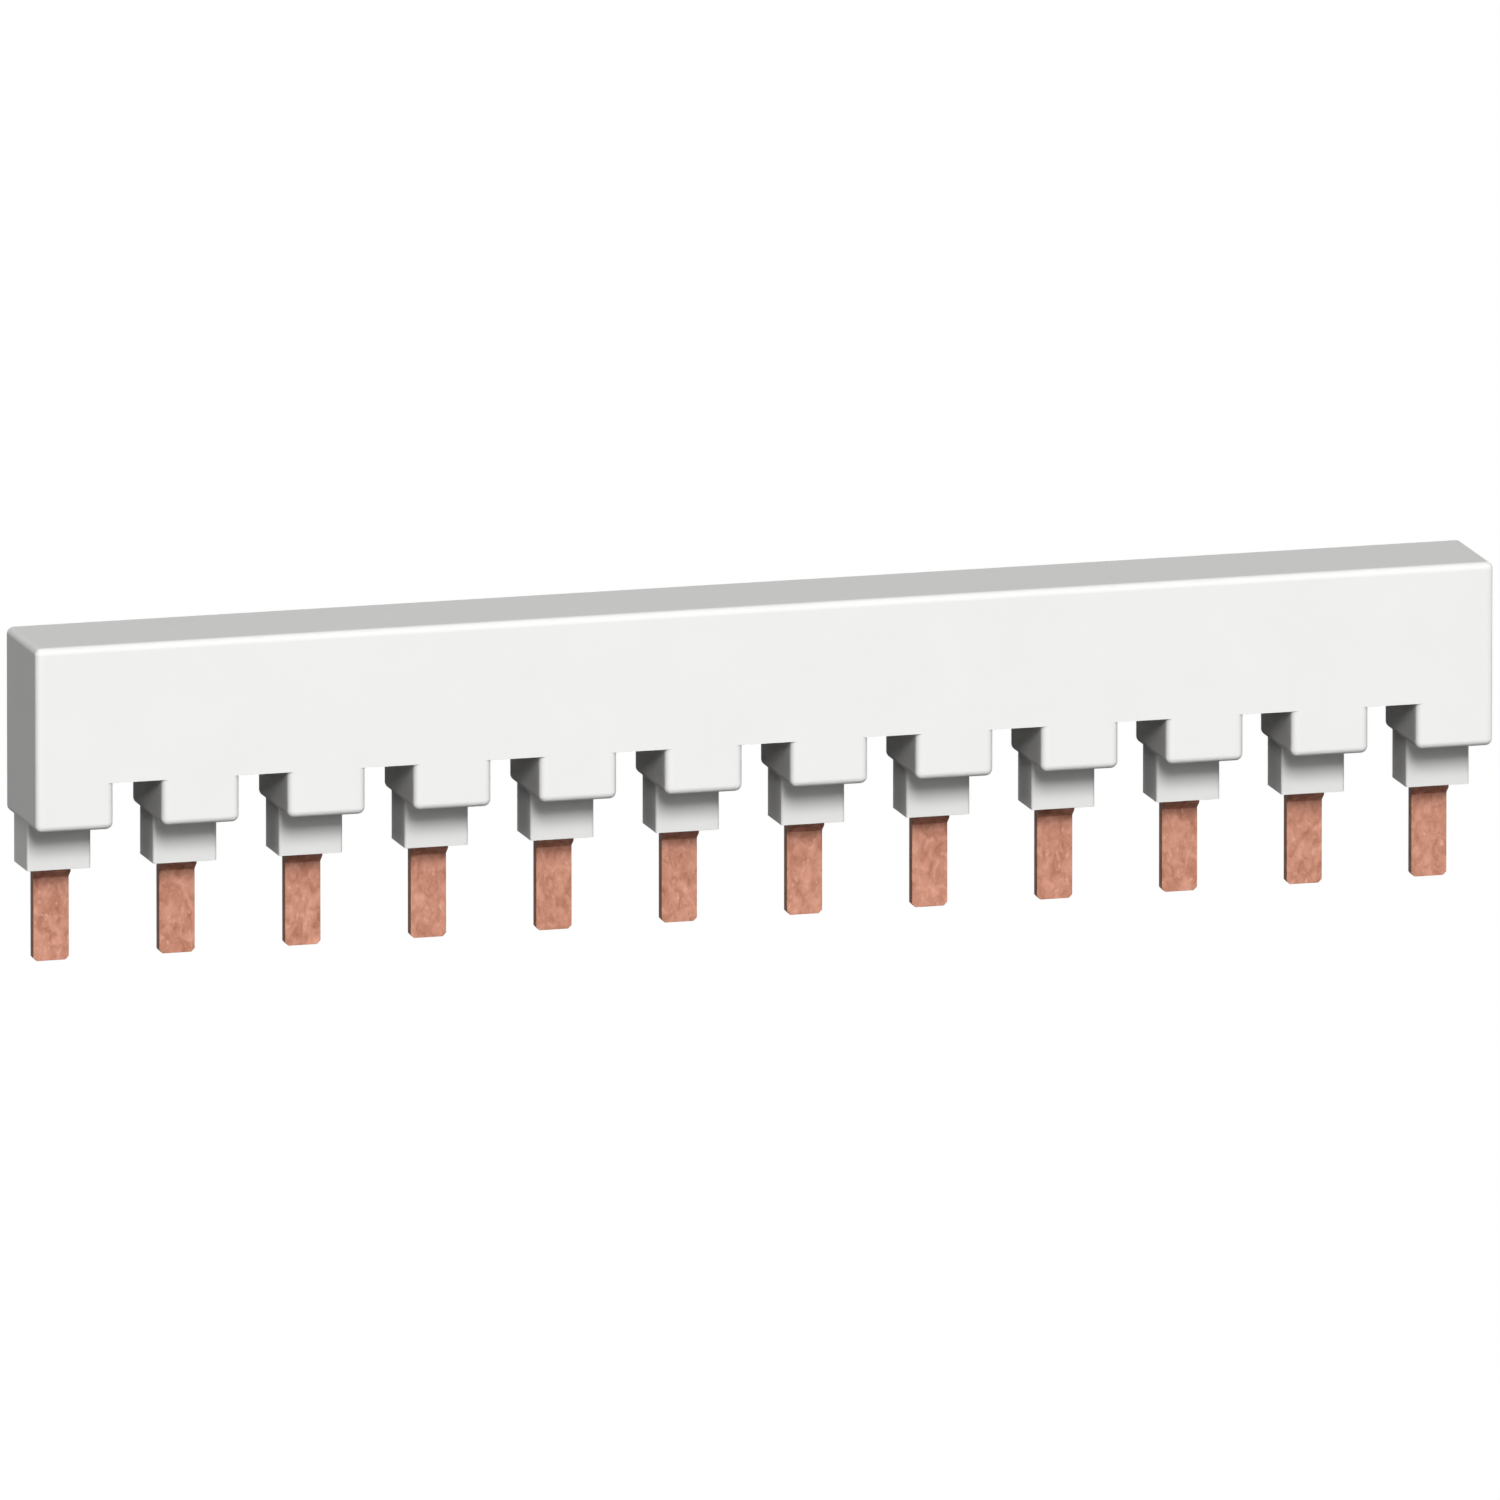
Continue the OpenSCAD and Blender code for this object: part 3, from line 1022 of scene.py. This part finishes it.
@dataclass
class Comb:
    """One punched and folded copper comb, with a tab under every third way."""

    at: Layout
    phase: Phase
    finish: bpy.types.Material
    tip_chamfer: float = 0.5 * MM
    shoulder_drop: float = 1.05 * MM
    shoulder_h: float = 0.9 * MM
    edge_r: float = 0.09 * MM
    bed: float = 0.4 * MM
    lip: float = 0.03 * MM
    near: float = 0.01 * MM
    cut_facing: float = 0.5
    arc_steps: int = 8

    def strip(self) -> bpy.types.Object:
        """Makes the strip that the tabs hang from.

        Returns:
            The object that the tree starts from.
        """
        at = self.at
        low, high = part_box(self.phase.node)
        front, back = low.y, low.y + at.bar_t
        shape = slab([(front, at.strip_z), (back, at.strip_z), (back, high.z), (front, high.z)],
                     high.x - low.x)
        soften(shape, self.edge_r)
        return put("strip", shape)

    def profile(self) -> list[Point2]:
        """Draws the side of a tab, with its foot bedded in the strip.

        Returns:
            The points from the foot down to the tip and back up.
        """
        at = self.at
        front, shank, back = at.strip_front(self.phase), at.shank_front, at.pin_back
        face, drop = back - at.pin_t, -self.shoulder_drop
        top, tip = at.strip_z + at.bar_t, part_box(self.phase.node)[0].z
        pin = [(shank, drop), (face, drop - self.shoulder_h), (face, tip), (back, tip)]
        rear, lip, bed = front + at.bar_t, at.strip_z + self.lip, self.bed
        down = [(front + bed, top), (front + bed, lip + bed), (front, lip)]
        up = [(rear, lip), (rear - bed, lip + bed), (rear - bed, top)]
        if self.phase is Phase.REAR:
            return [*down, *pin, *up]
        inner, outer, steps = at.bend_r, at.bend_r + at.bar_t, self.arc_steps
        upper = (front + outer, at.run_z + outer)
        lower = (shank - inner, at.run_z - inner)
        return [*down, *arc(upper, outer, FORWARD, DOWNWARD, steps),
                *arc(lower, inner, UPWARD, REARWARD, steps), *pin,
                *arc(lower, outer, REARWARD, UPWARD, steps),
                *arc(upper, inner, DOWNWARD, FORWARD, steps), *up]

    def tab(self) -> bpy.types.Object:
        """Makes one tab with a chamfered tip and softened punched edges.

        Returns:
            The tab as a tool object.
        """
        shape = slab(self.profile(), self.at.pin_w)
        tip = min(vert.co.z for vert in shape.verts)
        corners = [edge for edge in shape.edges
                   if all(vert.co.z < tip + self.near for vert in edge.verts)
                   and abs(edge.verts[0].co.x - edge.verts[1].co.x) < self.near]
        bmesh.ops.bevel(shape, geom=corners, offset=self.tip_chamfer, segments=1, affect="EDGES")
        soften(shape, self.edge_r)
        return put("tab", shape)

    def rule(self) -> RuleTree:
        """Builds the tree that hangs the tabs from the strip and marks the cut sides.

        Returns:
            The tree.
        """
        rule = RuleTree(f"punched_comb_{self.phase.value}")
        strip = rule.take("Strip", "Geometry")
        tabs = rule.along(rule.take("Tab", "Object"), rule.take("Tabs", "Int"),
                          rule.take("First", "Float"), rule.take("Spacing", "Float"))
        comb = rule.join(Join.ADD, strip, [tabs])
        # Marks the cut sides, which the copper finish darkens, partly as painted shade.
        normal = rule.add("GeometryNodeInputNormal", {})
        facing = rule.add("ShaderNodeSeparateXYZ", {"Vector": normal.outputs[0]})
        across = rule.add("ShaderNodeMath", {0: facing.outputs["X"]}, operation="ABSOLUTE")
        cut = rule.add("ShaderNodeMath", {0: across.outputs[0], 1: self.cut_facing},
                       operation="GREATER_THAN")
        marked = rule.add("GeometryNodeStoreNamedAttribute", {
            "Geometry": comb, "Name": SHEARED, "Value": cut.outputs[0]}, domain="FACE")
        rule.close(marked.outputs[0])
        return rule

    def build(self) -> bpy.types.Object:
        """Builds and dresses the comb.

        Returns:
            The finished piece.
        """
        at = self.at
        made = self.rule().grow(self.strip(), {
            "Tabs": at.ways // len(Phase), "First": at.first_pin(self.phase),
            "Spacing": len(Phase) * at.pitch, "Tab": self.tab(), "Finish": self.finish})
        shade(made)
        made.name = f"comb_{self.phase.name.lower()}"
        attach(made, BODY)
        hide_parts(self.phase.node)
        return made


@dataclass
class Separators:
    """The two insulating strips between the combs, which keep their solids."""

    finish: bpy.types.Material
    nodes: tuple[str, ...] = ("separator_front", "separator_rear")

    def build(self) -> list[bpy.types.Object]:
        """Dresses the solids.

        Returns:
            The two strips.
        """
        made = [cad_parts[name] for name in self.nodes]
        for strip in made:
            strip.data.materials.clear()
            strip.data.materials.append(self.finish)
        return made


def towards(azimuth: float, elevation: float) -> Vector:
    """Gives the direction from the object to a place around it.

    Args:
        azimuth: Degrees round from the front, to the right.
        elevation: Degrees up.

    Returns:
        The unit direction.
    """
    a, e = math.radians(azimuth), math.radians(elevation)
    return Vector((math.sin(a) * math.cos(e), -math.cos(a) * math.cos(e), math.sin(e)))


@dataclass(frozen=True)
class Lamp:
    """A soft fill lamp, far off in one direction, that no reflection shows."""

    name: str
    azimuth: float
    elevation: float
    strength: float
    spread: float

    def build(self) -> None:
        """Hangs the lamp."""
        data = bpy.data.lights.new(self.name, "SUN")
        data.energy = self.strength
        data.angle = math.radians(self.spread)
        lamp = bpy.data.objects.new(self.name, data)
        lamp.rotation_euler = towards(self.azimuth, self.elevation).to_track_quat("Z", "Y").to_euler()
        lamp.visible_glossy = False
        bpy.context.scene.collection.objects.link(lamp)


@dataclass(frozen=True)
class SoftBox:
    """A lamp behind a square screen, whose width and height are angles in degrees."""

    name: str
    azimuth: float
    elevation: float
    strength: float
    wide: float
    high: float
    distance: float = 8

    def across(self, angle: float) -> float:
        """Gives the screen's length that fills an angle in degrees."""
        return 2 * self.distance * math.tan(math.radians(angle / 2))

    def build(self) -> None:
        """Hangs the lamp."""
        data = bpy.data.lights.new(self.name, "AREA")
        data.shape = "RECTANGLE"
        data.size = self.across(self.wide)
        data.size_y = self.across(self.high)
        data.energy = self.strength * math.pi * self.distance**2
        lamp = bpy.data.objects.new(self.name, data)
        away = towards(self.azimuth, self.elevation)
        lamp.location = away * self.distance
        lamp.rotation_euler = away.to_track_quat("Z", "Y").to_euler()
        bpy.context.scene.collection.objects.link(lamp)


@dataclass
class Studio:
    """Floor, soft lamps, an even fill and the camera."""

    azimuth: float = -15.9
    elevation: float = 12.3
    frame_w: float = 207.1 * MM
    lens: float = 1600
    sensor: float = 36
    aim: Vector = Vector((-0.485, -6.501, 11.303)) * MM
    clip_near: float = 0.1
    clip_share: float = 10
    lamps: tuple[SoftBox | Lamp, ...] = (
        SoftBox("key", -8.7, 28.5, 2.26, 17.4, 14.8),
        SoftBox("sky_fill", 2, 40, 1.63, 4, 50),
        Lamp("front_fill", -2, 2, 0.39, 16),
        Lamp("left_fill", -87, 3, 0.69, 30),
        Lamp("right_fill", 98, 1, 0.82, 20),
        Lamp("rear_fill", 178.5, 1, 2.4, 3),
    )
    fill: Colour = (0.009, 0.009, 0.009, 1)
    floor_drop: float = 250 * MM
    floor_front: float = 0.35
    floor_back: float = 0.75
    floor_half: float = 0.5
    floor_colour: Colour = (0.05, 0.05, 0.05, 1)
    floor_glow: float = 0.985

    def camera(self) -> None:
        """Sets the camera at the photograph's viewing angle."""
        data = bpy.data.cameras.new("camera")
        data.sensor_width = self.sensor
        data.lens = self.lens
        distance = self.frame_w * self.lens / self.sensor
        data.clip_start = self.clip_near
        data.clip_end = self.clip_share * distance
        camera = bpy.data.objects.new("camera", data)
        away = towards(self.azimuth, self.elevation)
        camera.location = self.aim + away * distance
        camera.rotation_euler = away.to_track_quat("Z", "Y").to_euler()
        bpy.context.scene.collection.objects.link(camera)
        bpy.context.scene.camera = camera

    @staticmethod
    def seen(tree: bpy.types.NodeTree) -> bpy.types.NodeSocket:
        """Tells rays that see the backdrop from rays that only carry light.

        Args:
            tree: Node tree of the world or the floor.

        Returns:
            The socket that is 1 for camera, glossy and transmission rays.
        """
        path = add_node(tree, "ShaderNodeLightPath")
        total = path.outputs["Is Camera Ray"]
        for name in ("Is Glossy Ray", "Is Transmission Ray"):
            either = {0: total, 1: path.outputs[name]}
            total = add_node(tree, "ShaderNodeMath", either, operation="MAXIMUM").outputs[0]
        return total

    def world(self) -> None:
        """Makes an even grey fill behind which the backdrop shows white."""
        world = bpy.data.worlds.new("studio")
        world.use_nodes = True
        tree = world.node_tree
        fill = tree.nodes["Background"]
        fill.inputs["Color"].default_value = self.fill
        white = add_node(tree, "ShaderNodeBackground", {"Color": WHITE})
        mix = add_node(tree, "ShaderNodeMixShader", {
            0: self.seen(tree), 1: fill.outputs[0], 2: white.outputs[0]})
        tree.links.new(mix.outputs[0], tree.nodes["World Output"].inputs["Surface"])
        bpy.context.scene.world = world

    def floor(self) -> None:
        """Lays the floor well below the hanging bar. It glows white for rays that see it."""
        shape = bmesh.new()
        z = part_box(Phase.REAR.node)[0].z - self.floor_drop
        half, front, back = self.floor_half, -self.floor_front, self.floor_back
        shape.faces.new([shape.verts.new((x, y, z)) for x, y in
                         ((-half, front), (half, front), (half, back), (-half, back))])
        floor = put("studio_floor", shape)
        material = bpy.data.materials.new("studio_floor")
        material.use_nodes = True
        tree = material.node_tree
        shader = tree.nodes["Principled BSDF"]
        for name, value in {"Base Color": self.floor_colour, "Roughness": 1, "Specular IOR Level": 0,
                            "Emission Color": WHITE}.items():
            shader.inputs[name].default_value = value
        glow = add_node(tree, "ShaderNodeMath", {0: self.seen(tree), 1: self.floor_glow},
                        operation="MULTIPLY")
        tree.links.new(glow.outputs[0], shader.inputs["Emission Strength"])
        floor.data.materials.append(material)

    def build(self) -> None:
        """Sets up the whole studio."""
        bpy.context.scene.view_settings.view_transform = "Standard"
        self.world()
        self.floor()
        for lamp in self.lamps:
            lamp.build()
        self.camera()


def main() -> None:
    """Builds the pieces in order and dresses them."""
    logging.basicConfig(level=logging.INFO, format="%(name)s: %(message)s")
    at = Layout()
    white, cover, grey, copper = (finish.material() for finish in
                                  (HOUSING_PLASTIC, COVER_PLASTIC, SEPARATOR_PLASTIC, Copper()))
    pieces = [Housing(at, white), RearCover(at, cover), *(Comb(at, phase, copper) for phase in Phase)]
    for piece in pieces:
        made = piece.build()
        LOG.info("%s: %d faces", made.name, len(made.data.polygons))
    for made in Separators(grey).build():
        LOG.info("%s: solid kept, finish %s", made.name, grey.name)
    Studio().build()


if __name__ == "__main__":
    main()
